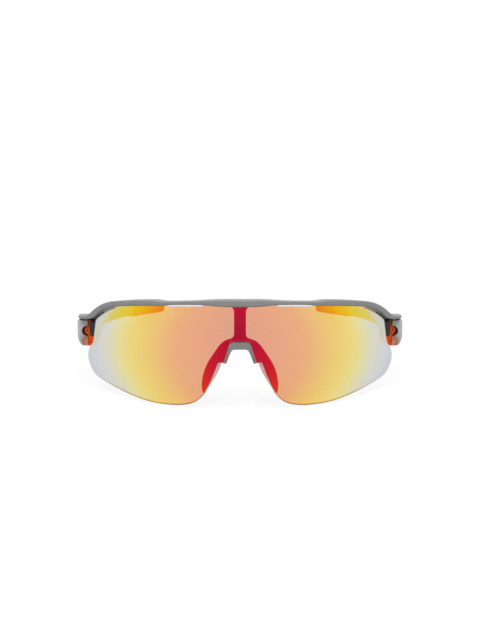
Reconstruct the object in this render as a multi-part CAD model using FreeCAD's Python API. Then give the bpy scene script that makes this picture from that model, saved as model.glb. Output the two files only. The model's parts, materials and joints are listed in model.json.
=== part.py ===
"""Half-rim shield sunglasses as an assembly of separate solids, in millimetres and degrees.

The pieces are drawn in the front's own frame: x to the wearer's left, y back from the lens, z up from the brow line.
At the end the assembly is tipped until it stands on the two lens lobes and the two temple tips, with the table
at z = 0 and the origin in the middle of the footprint of its box.
"""

import FreeCAD, Part
import math
import os

from FreeCAD import Vector

# Front: half width over the hinge blocks, and the lens's wrap and crown
FRONT_HALF_WIDTH = 72.4
WRAP_RADIUS = 90.0
CROWN_RADIUS = 200.0
CROWN_Z = -20.0
WRAP_SPREAD = 18.0

# Lens: edge points (x, z) from the centre line, and (inset from the half width, z) near the hinge
LENS_THICKNESS = 2.0
LENS_FIT = 0.1
LENS_INSET = 5.1
LENS_TOP = [(0.0, 0.1), (15.0, 0.0), (30.0, -0.3), (45.0, -1.1)]
LENS_CORNER = [(14.0, -2.0), (11.3, -2.7), (8.1, -4.5), (5.3, -6.6), (4.2, -7.7)]
LENS_NOTCH = [(3.8, -9.0), (3.25, -13.0), (2.6, -17.6), (0.6, -20.6)]
LENS_RIM = [(0.0, -24.2), (0.9, -27.8), (3.1, -31.3), (7.3, -34.0)]
LENS_LOBE = [(48.3, -38.7), (39.0, -41.3), (29.0, -42.3), (22.0, -41.7), (18.3, -40.2)]
LENS_NOSE = [(14.8, -37.0), (11.6, -30.7), (8.9, -23.9)]
NOSE_STEP = 2.4
NOSE_ARCH = [(0.0, -15.4), (2.8, -15.5), (3.75, -16.0), (4.5, -17.5)]
CENTRE_TAB_HALF = 15.8
CENTRE_TAB_TOP = 1.1
SIDE_TAB_INNER = 30.4
SIDE_TAB_OUTER = 53.6
SIDE_TAB_TOP = 0.5

# Brow bar and the block at each end of it
BLOCK_TOP = -6.6
BLOCK_BOTTOM = -8.2
BLOCK_WIDTH = 9.4
BLOCK_GROWTH_START = 0.7
BLOCK_BEHIND_PIN = 3.0
BROW_SEAT = 0.1
BROW_TOP = [(0.0, 2.88), (10.5, 2.78), (20.9, 2.12), (28.5, 1.85), (32.7, 1.78), (36.8, 2.25), (41.0, 2.15),
            (46.0, 1.88)]
BROW_TOP_END = [(21.0, 1.4), (15.4, 0.6), (11.4, -0.95), (8.2, -3.1), (5.9, -5.1), (4.6, -6.0), (2.4, BLOCK_TOP),
                (-1.1, BLOCK_TOP)]
BROW_BOTTOM = [(0.0, -0.35), (9.1, -0.1), (15.6, 0.45), (22.0, 0.45), (29.4, 0.2), (34.0, -0.2), (42.4, -0.5)]
BROW_BOTTOM_END = [(23.3, -0.87), (19.1, -1.2), (15.8, -1.75), (13.75, -2.47), (11.9, -3.45), (9.7, -5.1), (7.8, -6.9),
                   (5.4, -7.7), (3.4, BLOCK_BOTTOM + BROW_SEAT), (-1.1, BLOCK_BOTTOM + BROW_SEAT)]
BROW_PROUD = 1.6
BROW_DEPTH = 6.2
BROW_CORNER_RADIUS = 10.0
BROW_ROUND = 0.7
BROW_ROUND_LIMIT = 0.28
BROW_STATIONS = 36

# Nose bridge behind the lens, its screw and its two pads
BRIDGE_THICKNESS = 1.6
POST_HALF = 2.5
POST_FLARE = 0.9
POST_FLARE_DROP = 1.6
TENON_HALF = 2.0
TENON_TOP = 1.9
TENON_FIT = 0.08
WING_OUTER = [(2.5, -11.7), (3.1, -13.2), (5.7, -14.3), (10.4, -19.0), (14.3, -25.4), (16.0, -31.5), (16.1, -34.8),
              (15.75, -36.6)]
WING_SETBACK = 0.35
ARCH_LIP = 0.5
ARCH_PROUD = 0.5
ARCH_INNER = [(0.0, -18.0), (1.6, -18.0), (2.75, -18.1), (3.45, -18.55), (3.9, -19.3), (4.85, -21.6), (5.8, -24.0)]
BRIDGE_SCREW_Z = 1.1
BRIDGE_SCREW_RADIUS = 0.5
BRIDGE_SCREW_LENGTH = 2.2
BRIDGE_HEAD_RADIUS = 1.0
BRIDGE_HEAD_HEIGHT = 0.6
SCREW_SEAT = 0.02
SCREW_FIT = 0.03
PAD_FOOT = -35.2
PAD_SHOW = [0.2, 0.8, 1.2]
PAD_THICKNESS = 2.8
PAD_DEPTH = 8.5
PAD_FLARE = 1.6
PAD_ROUND = 1.0
PAD_FIT = 0.05

# Hinge at each end: pin, bracket, washers and bracket screw
PIN_INSET = 6.8
PIN_BEHIND_CORNER = 2.5
PIN_RADIUS = 0.8
PIN_FIT = 0.04
PIN_IN_BLOCK = 1.0
PIN_HEAD_RADIUS = 1.4
PIN_HEAD_HEIGHT = 0.8
PIN_SLOT_WIDTH = 0.4
PIN_SLOT_DEPTH = 0.4
KNUCKLE_RADIUS = 2.2
KNUCKLE_FIT = 0.25
FOOT_THICKNESS = 0.4
FOOT_SIDE = 1.9
FOOT_AHEAD = 9.6
FOOT_BEHIND = 2.5
HINGE_GAP = 0.1
UPPER_KNUCKLE = 1.4
LUG_HEIGHT = 4.8
LOWER_KNUCKLE = 2.0
KNUCKLE_SKIRT = 1.2
FOLD_ROOM_START = 135.0
FOLD_ROOM_ANGLE = 133.0
WASHER_THICKNESS = 0.25
WASHER_FIT = 0.03
WASHER_RADIUS = 2.0
ARM_INNER = 3.0
ARM_THICKNESS = 3.3
LINK_START = 6.0
LINK_THICKNESS = 2.2
LINK_END = [(-0.1, -0.92), (-0.7, -0.64)]
JAW_GRIP = 0.6
JAW_WALL = 0.7
JAW_TOP = -9.0
BRACE_LOW = 0.15
BRACE_HIGH = 0.6
BRACE_DEPTH = 0.6
BRACKET_SCREW_AHEAD = 7.9
BRACKET_SCREW_RADIUS = 0.5
BRACKET_SCREW_LENGTH = 1.8
BRACKET_HEAD_RADIUS = 0.9
BRACKET_HEAD_HEIGHT = 0.5

# Temple: plan along a line that toes in and bends behind the ear, side view by edge points (y from the pin, z)
SHELL_AHEAD = 7.0
CORE_AHEAD = 4.2
INTERFACE_INSET = 4.5
STRAIGHT_LENGTH = 46.0
TOE_IN = 4.5
EAR_BEND = 15.0
EAR_BEND_RADIUS = 110.0
EAR_LENGTH = 45.0
SHELL_FRONT_WALL = 4.5
SHELL_BACK_WALL = 1.9
CORE_FRONT_WALL = 3.3
CORE_BACK_WALL = 1.9
WALL_TAPER = 36.0
TEMPLE_GAP = 1.5
TEMPLE_CLEAR = 0.1
TEMPLE_TOP = [(6.6, -7.5), (14.5, -7.9), (30.5, -7.8), (68.5, -8.2), (118.0, -8.9)]
TEMPLE_BOTTOM = [(-8.5, -18.9), (-4.0, -20.4), (1.0, -20.0), (8.5, -17.2), (18.0, -14.7), (45.0, -13.8), (70.0, -13.8),
                 (118.0, -14.1)]
TEMPLE_ROUND = 1.2
TEMPLE_TOP_ROUND = 0.25
TEMPLE_TOP_ABOVE = -10.5
POCKET_Z = -13.5
POCKET_OUT = 0.3
POCKET_RADIUS = 2.3
POCKET_LENGTH = 7.0
BOSS_RADIUS = 1.9
BOSS_INWARD = 0.45
CORE_WINDOW = 1.6
CORE_GROOVE = [(5.3, -10.9), (4.2, -13.3), (5.0, -15.3), (5.8, -17.2), (5.3, -19.4)]
CORE_GROOVE_WIDTH = 0.8
CORE_GROOVE_DEPTH = 0.7
SHELL_HEEL = [(0.0, -15.6), (0.3, -16.9), (1.0, -18.5), (2.0, -19.8), (3.4, -20.5)]
TEMPLE_STATIONS = 12
FINE_STATIONS = 400

# Rubber tip over the back of each temple, and the flat it stands on
TIP_LENGTH = 40.0
TIP_SIDE_WALL = 0.6
TIP_EDGE_WALL = 0.5
TIP_ROUND = 1.5
TIP_FIT = 0.05
TONGUE_HALF = 0.8
TONGUE_HEIGHT = 3.4
TONGUE_LENGTH = 34.0
FOOT_FLAT = 0.45
STEEPEST_STAND = 30.0
STAND_ROUNDS = 60
POINT_TOLERANCE = 0.02

# Places that follow from the sizes above
FAR = 300.0
THROUGH = 1.0
UP = Vector(0, 0, 1)
BACK = Vector(0, 1, 0)
LEFT = Vector(1, 0, 0)
LENS_HALF_WIDTH = FRONT_HALF_WIDTH - LENS_INSET
BEHIND_LENS = -LENS_THICKNESS - LENS_FIT
BEHIND_BRIDGE = BEHIND_LENS - BRIDGE_THICKNESS
BROW_RADIUS = WRAP_RADIUS - CROWN_RADIUS + math.sqrt(CROWN_RADIUS**2 - CROWN_Z**2)
BROW_FRONT_RADIUS = BROW_RADIUS + BROW_PROUD
BROW_BACK_RADIUS = BROW_FRONT_RADIUS - BROW_DEPTH
CORNER_X = FRONT_HALF_WIDTH - BROW_CORNER_RADIUS
CORNER_ANGLE = math.asin(CORNER_X / (BROW_FRONT_RADIUS - BROW_CORNER_RADIUS))
CORNER_Y = WRAP_RADIUS - (BROW_FRONT_RADIUS - BROW_CORNER_RADIUS) * math.cos(CORNER_ANGLE)
PIN_X = FRONT_HALF_WIDTH - PIN_INSET
PIN_Y = CORNER_Y + PIN_BEHIND_CORNER
BLOCK_BACK = PIN_Y + BLOCK_BEHIND_PIN
FOOT_Z = BLOCK_BOTTOM - FOOT_THICKNESS
UPPER_TOP = FOOT_Z - HINGE_GAP
UPPER_BOTTOM = UPPER_TOP - UPPER_KNUCKLE
WASHER_ROOM = WASHER_THICKNESS + 2 * WASHER_FIT
LUG_TOP = UPPER_BOTTOM - WASHER_ROOM
LUG_BOTTOM = LUG_TOP - LUG_HEIGHT
LOWER_TOP = LUG_BOTTOM - WASHER_ROOM
LOWER_BOTTOM = LOWER_TOP - LOWER_KNUCKLE
ROOM_RADIUS = KNUCKLE_RADIUS + KNUCKLE_FIT
TEMPLE_LENGTH = SHELL_AHEAD + STRAIGHT_LENGTH + EAR_BEND_RADIUS * math.radians(EAR_BEND) + EAR_LENGTH
TIP_START = TEMPLE_LENGTH - TIP_LENGTH


def mirrored(points):
    """Points of a whole edge from those of its left half, which start on the centre line."""
    return [(-x, z) for x, z in reversed(points[1:])] + points


def from_side(half_width, points):
    """(x, z) points from ones that give x as an inset from a half width."""
    return [(half_width - inset, z) for inset, z in points]


def spline(points):
    """One smooth edge through points."""
    curve = Part.BSplineCurve()
    curve.interpolate(points)
    return curve.toShape()


def drawn(poles):
    """One smooth edge that is pulled towards poles and leaves along their first line."""
    curve = Part.BSplineCurve()
    curve.buildFromPoles(poles)
    return curve.toShape()


def chain(points):
    """Straight edges from point to point."""
    return [Part.makeLine(start, end) for start, end in zip(points, points[1:])]


def front(points):
    """Front-view (x, z) points in space."""
    return [Vector(x, 0, z) for x, z in points]


def side(points):
    """Side-view points, given as y from the pin and z, in space."""
    return [Vector(0, PIN_Y + y, z) for y, z in points]


def face_of(edges):
    return Part.Face(Part.Wire(Part.__sortEdges__(edges)))


def prism(face, direction):
    """The face swept FAR both ways along direction."""
    moved = face.copy()
    moved.translate(direction * -FAR)
    return moved.extrude(direction * (2 * FAR))


def slab(low, high):
    """A box between two corners."""
    return Part.makeBox(high[0] - low[0], high[1] - low[1], high[2] - low[2], Vector(*low))


def round_post(low, high, radius, ahead=0.0):
    """An upright cylinder on the left hinge axis, or ahead of it."""
    return Part.makeCylinder(radius, high - low, Vector(PIN_X, PIN_Y - ahead, low))


def flipped(shape):
    """The same piece for the wearer's right."""
    return shape.mirror(Vector(0, 0, 0), LEFT)


def rounded(shape, radius, wanted):
    """shape with the edges that wanted() picks rounded off."""
    return shape.makeFillet(radius, [edge for edge in shape.Edges if wanted(edge)])


def along_wrap(offset_front, offset_back):
    """The sheet between two offsets of the lens's front face, counted forward, over a half turn."""
    centre = Vector(WRAP_RADIUS - CROWN_RADIUS, WRAP_RADIUS, CROWN_Z)
    spread = math.radians(WRAP_SPREAD)

    def at(offset, angle):
        radius = CROWN_RADIUS + offset
        return centre + Vector(radius * math.cos(angle), 0, radius * math.sin(angle))

    edges = [Part.Arc(at(offset, -spread), at(offset, 0), at(offset, spread)).toShape()
             for offset in (offset_front, offset_back)]
    edges += [Part.makeLine(at(offset_front, end), at(offset_back, end)) for end in (-spread, spread)]
    return face_of(edges).revolve(Vector(0, WRAP_RADIUS, 0), UP, -180)


def wrap_offset(point):
    """Offset of a point from the lens's front face, counted forward."""
    out = math.hypot(point.x, point.y - WRAP_RADIUS) - WRAP_RADIUS + CROWN_RADIUS
    return math.hypot(out, point.z - CROWN_Z) - CROWN_RADIUS


def arch_points():
    """Nose arch of the lens, from the centre line down to the end of the step."""
    foot = LENS_NOSE[-1]
    return NOSE_ARCH + [(foot[0] - NOSE_STEP, foot[1])]


def grown(points, fit):
    """Edge points moved by fit to the left of the way they run."""
    moved = []
    for index, (x, z) in enumerate(points):
        before = points[max(index - 1, 0)]
        after = points[min(index + 1, len(points) - 1)]
        run = math.hypot(after[0] - before[0], after[1] - before[1])
        moved.append((x - fit * (after[1] - before[1]) / run, z + fit * (after[0] - before[0]) / run))
    return moved


def lens_face(fit):
    """Front view of the lens without its tabs, grown by fit."""
    top = LENS_TOP + from_side(LENS_HALF_WIDTH, LENS_CORNER + LENS_NOTCH[:1])
    top = grown(mirrored(top), fit)
    arch = grown(mirrored(arch_points()), -fit)
    low = from_side(LENS_HALF_WIDTH, LENS_NOTCH + LENS_RIM) + LENS_LOBE + LENS_NOSE
    low = grown(low, fit)
    edges = [spline(front(top)), spline(front(arch))]
    for sign in (1, -1):
        mine = [(sign * x, z) for x, z in low]
        edges.append(spline(front(mine)))
        edges += chain(front([mine[-1], (sign * arch[-1][0], arch[-1][1])]))
        if fit:
            edges += chain(front([(sign * top[-1][0], top[-1][1]), mine[0]]))
    return face_of(edges)


def lens_body(fit):
    """The lens grown by fit all round, with the tabs that reach up into the bar."""
    sheet = prism(lens_face(fit), BACK)
    tabs = [(-CENTRE_TAB_HALF, CENTRE_TAB_HALF, CENTRE_TAB_TOP),
            (SIDE_TAB_INNER, SIDE_TAB_OUTER, SIDE_TAB_TOP),
            (-SIDE_TAB_OUTER, -SIDE_TAB_INNER, SIDE_TAB_TOP)]
    for inner, outer, top in tabs:
        root = LENS_NOTCH[0][1]
        sheet = sheet.fuse(slab((inner - fit, -FAR, root), (outer + fit, FAR, top + fit)))
    return sheet.common(along_wrap(fit, -LENS_THICKNESS - fit)).removeSplitter()


def on_arc(radius, angle, centre_x=0.0, centre_y=WRAP_RADIUS):
    """A plan point at an angle from straight ahead about a centre."""
    return Vector(centre_x + radius * math.sin(angle), centre_y - radius * math.cos(angle), 0)


def edge_height(points, x):
    """Height at x of a smooth edge through (x, z) points, level at its ends, crests, dips and flats."""
    index = max(place for place in range(len(points) - 1) if place == 0 or points[place][0] <= x)

    def slope(place):
        before = points[max(place - 1, 0)]
        here = points[place]
        after = points[min(place + 1, len(points) - 1)]
        if (here[1] - before[1]) * (after[1] - here[1]) <= 0:
            return 0.0
        return (after[1] - before[1]) / (after[0] - before[0])

    (start_x, start_z), (end_x, end_z) = points[index], points[index + 1]
    run = end_x - start_x
    share = (x - start_x) / run
    rise = share * share * (3 - 2 * share)
    leave = share * (1 - share) ** 2 * run * slope(index)
    arrive = share * share * (share - 1) * run * slope(index + 1)
    return start_z + (end_z - start_z) * rise + leave + arrive


def brow_depth(angle):
    """Depth of the bar where it faces an angle from straight ahead: it widens towards the block over the hinge."""
    start = BLOCK_GROWTH_START * CORNER_ANGLE
    share = max(0.0, angle - start) / (CORNER_ANGLE - start)
    return BROW_DEPTH + (BLOCK_WIDTH - BROW_DEPTH) * share * share * (3 - 2 * share)


def brow_section(angle):
    """Rounded section of the bar where it faces an angle from straight ahead."""
    point = on_arc(BROW_FRONT_RADIUS, angle)
    top = edge_height(BROW_TOP + from_side(FRONT_HALF_WIDTH, BROW_TOP_END), abs(point.x))
    bottom = edge_height(BROW_BOTTOM + from_side(FRONT_HALF_WIDTH, BROW_BOTTOM_END), abs(point.x))
    depth = brow_depth(abs(angle))
    radius = min(BROW_ROUND, BROW_ROUND_LIMIT * (top - bottom))
    cut = radius * (1 - math.sqrt(0.5))
    inward = Vector(-math.sin(angle), math.cos(angle), 0)

    def at(back, height):
        return point + inward * back + UP * height

    corners = [[at(depth - radius, top), at(depth - cut, top - cut), at(depth, top - radius)],
               [at(depth, bottom + radius), at(depth - cut, bottom + cut), at(depth - radius, bottom)],
               [at(radius, bottom), at(cut, bottom + cut), at(0, bottom + radius)],
               [at(0, top - radius), at(cut, top - cut), at(radius, top)]]
    edges = []
    for corner, following in zip(corners, corners[1:] + corners[:1]):
        edges.append(Part.Arc(*corner).toShape())
        edges.append(Part.makeLine(corner[2], following[0]))
    return Part.Wire(edges)


def brow_bar():
    """The bar with its socket: along the wrap, around a corner at each end and straight back as the hinge's block."""
    steps = range(-BROW_STATIONS, BROW_STATIONS + 1)
    bar = Part.makeLoft([brow_section(CORNER_ANGLE * step / BROW_STATIONS) for step in steps], True)
    middle = slab((-CENTRE_TAB_HALF, -FAR, -FAR), (CENTRE_TAB_HALF, FAR, FAR))
    centre = bar.common(middle).cut([tenon_socket(), bridge_screw_hole()])
    corner = Vector(CORNER_X, CORNER_Y, 0)
    turn = 90 - math.degrees(CORNER_ANGLE)
    end = Part.Face(brow_section(CORNER_ANGLE))
    bend = end.revolve(corner, UP, turn)
    end.rotate(corner, UP, turn)
    block = end.extrude(BACK * (BLOCK_BACK - CORNER_Y))
    return bar.cut(middle).fuse([centre, bend, block, flipped(bend), flipped(block)])


def tenon_socket():
    """Room in the bar for the bridge's tenon."""
    block = slab((-TENON_HALF - TENON_FIT, -FAR, BROW_BOTTOM[0][1] - BROW_PROUD),
                 (TENON_HALF + TENON_FIT, FAR, TENON_TOP + TENON_FIT))
    return block.common(along_wrap(BEHIND_LENS + TENON_FIT, BEHIND_BRIDGE - TENON_FIT))


def brow_frame(lens_room):
    """Bar with the lens groove, the pin holes and the screw holes."""
    holes = []
    for hole in (round_post(FOOT_Z, BLOCK_BOTTOM + PIN_IN_BLOCK + PIN_FIT, PIN_RADIUS + PIN_FIT),
                 bracket_screw_hole()):
        holes += [hole, flipped(hole)]
    return brow_bar().cut(holes).cut(lens_room)


def nose_side(foot):
    """The lens's nose edge beside a wing, (x, z) from the height of a foot up."""
    (low_x, low_z), (high_x, high_z) = LENS_NOSE[:2]
    share = (foot - low_z) / (high_z - low_z)
    return [(low_x + share * (high_x - low_x), foot)] + LENS_NOSE[1:]


def bridge_outline():
    """Front view of the bridge: tenon, flared post and two wings, open around the nose."""
    shoulder = BROW_BOTTOM[0][1] - TENON_FIT
    wing_inner = [(x + WING_SETBACK, z) for x, z in nose_side(WING_OUTER[-1][1] - WING_SETBACK)]
    edges = chain(front([(-TENON_HALF, TENON_TOP), (TENON_HALF, TENON_TOP)]))
    edges.append(spline(front(mirrored(ARCH_INNER))))
    for sign in (1, -1):
        def mine(points):
            return front([(sign * x, z) for x, z in points])

        edges += chain(mine([(TENON_HALF, TENON_TOP), (TENON_HALF, shoulder), (POST_HALF + POST_FLARE, shoulder),
                             (POST_HALF, shoulder - POST_FLARE_DROP), WING_OUTER[0]]))
        edges.append(spline(mine(WING_OUTER)))
        edges += chain(mine([WING_OUTER[-1], wing_inner[0]]))
        edges.append(spline(mine(wing_inner)))
        edges += chain(mine([wing_inner[-1], ARCH_INNER[-1]]))
    return face_of(edges)


def arch_band():
    """Front view of the arch that wraps the lens's nose edge."""
    outer = grown(mirrored(arch_points()), ARCH_LIP)
    inner = mirrored(ARCH_INNER)
    edges = [spline(front(outer)), spline(front(inner))]
    edges += chain(front([outer[0], inner[0]])) + chain(front([outer[-1], inner[-1]]))
    return face_of(edges)


def nose_bridge(lens_room):
    """Carrier behind the lens with an arch that grips the lens's nose edge."""
    plate = prism(bridge_outline(), BACK).common(along_wrap(BEHIND_LENS, BEHIND_BRIDGE))
    arch = prism(arch_band(), BACK).common(along_wrap(ARCH_PROUD, BEHIND_LENS - BRIDGE_THICKNESS / 2))
    return plate.fuse(arch).cut([lens_room, bridge_screw_hole()]).removeSplitter()


def back_of_brow():
    """y of the bar's back face on the centre line."""
    return WRAP_RADIUS - BROW_BACK_RADIUS


def across(radius, start, end):
    """A cylinder along y at the bridge screw's height."""
    return Part.makeCylinder(radius, end - start, Vector(0, start, BRIDGE_SCREW_Z), BACK)


def bridge_screw_hole():
    end = back_of_brow() - BRIDGE_SCREW_LENGTH - SCREW_FIT
    return across(BRIDGE_SCREW_RADIUS + SCREW_FIT, end, back_of_brow() + THROUGH)


def bridge_screw():
    """Pan-head screw through the back of the bar into the tenon."""
    seat = back_of_brow() + SCREW_SEAT
    shank = across(BRIDGE_SCREW_RADIUS, back_of_brow() - BRIDGE_SCREW_LENGTH, seat + BRIDGE_HEAD_HEIGHT / 2)
    head = across(BRIDGE_HEAD_RADIUS, seat, seat + BRIDGE_HEAD_HEIGHT)
    slot = slab((-FAR, seat + BRIDGE_HEAD_HEIGHT - PIN_SLOT_DEPTH, BRIDGE_SCREW_Z - PIN_SLOT_WIDTH / 2),
                (FAR, FAR, BRIDGE_SCREW_Z + PIN_SLOT_WIDTH / 2))
    return shank.fuse(head).cut(slot)


def nose_pad():
    """Soft pad on the back of the left wing, leaning out towards the face."""
    deep = PAD_DEPTH - BEHIND_BRIDGE

    def outline(y):
        lean = PAD_FLARE * (y / deep - 0.5)
        inner = [(x - shown + lean, z) for (x, z), shown in zip(nose_side(PAD_FOOT), PAD_SHOW)]
        outer = [(x + PAD_THICKNESS, z) for x, z in inner]
        ring = [Vector(x, y, z) for x, z in inner] + [Vector(x, y, z) for x, z in reversed(outer)]
        half = len(inner)
        edges = [spline(ring[:half]), Part.makeLine(ring[half - 1], ring[half])]
        edges += [spline(ring[half:]), Part.makeLine(ring[-1], ring[0])]
        return Part.Wire(edges)

    block = Part.makeLoft([outline(0), outline(2 * deep)], True, True)
    pad = block.common(along_wrap(BEHIND_BRIDGE - PAD_FIT, BEHIND_BRIDGE - PAD_DEPTH))
    seat = max(pad.Faces, key=lambda face: wrap_offset(face.CenterOfMass))

    def off_seat(edge):
        return not any(edge.isSame(other) for other in seat.Edges)

    return rounded(pad, PAD_ROUND, off_seat)


def bracket_screw_place():
    """Plan x of the bracket screw: the middle of the bracket's arm."""
    return PIN_X - ARM_INNER + ARM_THICKNESS / 2


def bracket_screw_post(low, high, radius):
    return Part.makeCylinder(radius, high - low, Vector(bracket_screw_place(), PIN_Y - BRACKET_SCREW_AHEAD, low))


def bracket_screw_hole():
    top = BLOCK_BOTTOM + BRACKET_SCREW_LENGTH - FOOT_THICKNESS
    return bracket_screw_post(FOOT_Z - THROUGH, top + SCREW_FIT, BRACKET_SCREW_RADIUS + SCREW_FIT)


def bracket_link():
    """Plan of the web from the bracket's arm to its lug, in the sector that the folding temple leaves free."""
    corners = [(-ARM_INNER, -LINK_START), (LINK_THICKNESS - ARM_INNER, -LINK_START)]
    corners += [(share_x * KNUCKLE_RADIUS, share_y * KNUCKLE_RADIUS) for share_x, share_y in LINK_END]
    ring = [Vector(PIN_X + x, PIN_Y + y, LUG_BOTTOM) for x, y in corners + corners[:1]]
    return face_of(chain(ring)).extrude(UP * (BLOCK_BOTTOM - LUG_BOTTOM))


def bracket_brace():
    """Strip of the bracket along the lens's upper corner, between the lens and the bar."""
    line = from_side(LENS_HALF_WIDTH, LENS_CORNER[2:] + LENS_NOTCH[:2])
    low = grown(line, BRACE_LOW)
    high = grown(line, BRACE_HIGH)
    edges = [spline(front(low)), spline(front(high))]
    edges += chain(front([low[0], high[0]])) + chain(front([low[-1], high[-1]]))
    return prism(face_of(edges), BACK).common(along_wrap(0, -BRACE_DEPTH))


def hinge_bracket(lens_room):
    """Foot under the block, lug around the pin, and an arm forward to a jaw on the lens's notched edge."""
    arm_x = PIN_X - ARM_INNER
    notch_x = LENS_HALF_WIDTH - LENS_NOTCH[0][0]
    foot = slab((arm_x, PIN_Y - FOOT_AHEAD, FOOT_Z),
                (FRONT_HALF_WIDTH - FOOT_SIDE, PIN_Y + FOOT_BEHIND, BLOCK_BOTTOM))
    lug = round_post(LUG_BOTTOM, LUG_TOP, KNUCKLE_RADIUS)
    lens_y = WRAP_RADIUS - math.sqrt((BROW_RADIUS - LENS_THICKNESS) ** 2 - notch_x**2)
    arm = slab((arm_x, lens_y, LUG_BOTTOM), (arm_x + ARM_THICKNESS, PIN_Y - LINK_START, FOOT_Z))
    jaw = slab((notch_x - JAW_GRIP, -FAR, LUG_BOTTOM), (arm_x + ARM_THICKNESS, PIN_Y, JAW_TOP))
    jaw = jaw.common(along_wrap(0, -LENS_THICKNESS - 2 * JAW_WALL))
    room = round_post(LUG_TOP, FOOT_Z, ROOM_RADIUS)
    whole = foot.fuse([arm, bracket_link().cut(room), lug, jaw, bracket_brace()])
    whole = whole.cut([lens_room, bracket_screw_hole(), bracket_head_room(),
                       round_post(LUG_BOTTOM - THROUGH, BLOCK_BOTTOM + THROUGH, PIN_RADIUS + PIN_FIT)])
    return whole.removeSplitter()


def bracket_head_room():
    """Pocket in the bracket's arm for the screw's head and the driver."""
    return bracket_screw_post(LUG_BOTTOM - THROUGH, FOOT_Z, BRACKET_HEAD_RADIUS + SCREW_FIT)


def bracket_screw():
    """Screw up through the bracket's foot into the block."""
    top = BLOCK_BOTTOM + BRACKET_SCREW_LENGTH - FOOT_THICKNESS
    low = FOOT_Z - SCREW_SEAT - BRACKET_HEAD_HEIGHT
    shank = bracket_screw_post(low, top, BRACKET_SCREW_RADIUS)
    head = bracket_screw_post(low, FOOT_Z - SCREW_SEAT, BRACKET_HEAD_RADIUS)
    slot = slab((bracket_screw_place() - PIN_SLOT_WIDTH / 2, -FAR, -FAR),
                (bracket_screw_place() + PIN_SLOT_WIDTH / 2, FAR, low + PIN_SLOT_DEPTH / 2))
    return shank.fuse(head).cut(slot)


def hinge_pin():
    """Headed pin from below through both knuckles and the lug into the block."""
    head_top = LOWER_BOTTOM - WASHER_FIT
    low = head_top - PIN_HEAD_HEIGHT
    shank = round_post(low, BLOCK_BOTTOM + PIN_IN_BLOCK, PIN_RADIUS)
    slot = slab((PIN_X - PIN_SLOT_WIDTH / 2, -FAR, -FAR), (PIN_X + PIN_SLOT_WIDTH / 2, FAR, low + PIN_SLOT_DEPTH))
    return shank.fuse(round_post(low, head_top, PIN_HEAD_RADIUS)).cut(slot)


def hinge_washers():
    """Thin washers above and below the lug."""
    rings = []
    for low in (LUG_TOP + WASHER_FIT, LUG_BOTTOM - WASHER_FIT - WASHER_THICKNESS):
        ring = round_post(low, low + WASHER_THICKNESS, WASHER_RADIUS)
        rings.append(ring.cut(round_post(low - THROUGH, low + THROUGH, PIN_RADIUS + PIN_FIT)))
    return Part.makeCompound(rings)


def temple_line(distance):
    """Plan point and heading of the line between core and shell, at a distance from the shell's front end."""
    x, y, heading = FRONT_HALF_WIDTH - INTERFACE_INSET, PIN_Y - SHELL_AHEAD, 0.0
    toe = math.radians(TOE_IN)
    bend = math.radians(EAR_BEND)
    runs = [(SHELL_AHEAD, 0.0, 0.0), (STRAIGHT_LENGTH, toe, toe), (EAR_BEND_RADIUS * bend, toe, toe + bend),
            (EAR_LENGTH, toe + bend, toe + bend)]
    for length, start, end in runs:
        part = min(length, distance)
        heading = start + (end - start) * part / length
        chord = (start + heading) / 2
        x -= part * math.sin(chord)
        y += part * math.cos(chord)
        distance -= part
        if distance <= 0:
            break
    return Vector(x, y, 0), heading


def beside(distance, offset):
    """Plan point at an outward offset from the temple's line."""
    point, heading = temple_line(distance)
    return point + Vector(math.cos(heading), math.sin(heading), 0) * offset


def wall(distance, front_wall, back_wall):
    """Wall of the temple, which thins over WALL_TAPER behind its front end."""
    share = min(1.0, max(0.0, distance - SHELL_AHEAD) / WALL_TAPER)
    ease = share * share * (3 - 2 * share)
    return front_wall + (back_wall - front_wall) * ease


def temple_stations(start, end, count=TEMPLE_STATIONS):
    return [start + (end - start) * step / count for step in range(count + 1)]


def temple_band(start, end, inner_offset, outer_offset):
    """Upright prism between two offsets of the temple's line."""
    stations = temple_stations(start, end)
    inner = [beside(station, inner_offset(station)) for station in stations]
    outer = [beside(station, outer_offset(station)) for station in stations]
    edges = [spline(inner), spline(outer)] + chain([inner[0], outer[0]]) + chain([inner[-1], outer[-1]])
    return prism(face_of(edges), UP)


def temple_profile(grow=0.0):
    """Side view of the temple as a prism across, grown at its top and bottom edges."""
    level = FOOT_Z - TEMPLE_CLEAR
    step = BLOCK_BEHIND_PIN + TEMPLE_GAP
    front_y = TEMPLE_BOTTOM[0][0]
    top = [(step, level), (step + TEMPLE_GAP, level)] + TEMPLE_TOP
    top = [(y, z + grow) for y, z in top]
    bottom = [(y, z - grow) for y, z in TEMPLE_BOTTOM]
    edges = [drawn(side(top)), spline(side(bottom))]
    edges += chain(side([top[0], (front_y, level + grow), bottom[0]])) + chain(side([top[-1], bottom[-1]]))
    return prism(face_of(edges), LEFT)


def temple_offset(point):
    """How far out from the temple's line a point stands, and how far along it."""
    def away(station):
        spot = temple_line(station)[0]
        return math.hypot(point.x - spot.x, point.y - spot.y)

    nearest = min(temple_stations(0, TEMPLE_LENGTH, FINE_STATIONS), key=away)
    spot, heading = temple_line(nearest)
    return (point.x - spot.x) * math.cos(heading) + (point.y - spot.y) * math.sin(heading), nearest


def no_offset(distance):
    return 0.0


def shell_offset(distance):
    return wall(distance, SHELL_FRONT_WALL, SHELL_BACK_WALL)


def core_offset(distance):
    return -wall(distance, CORE_FRONT_WALL, CORE_BACK_WALL)


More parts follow.
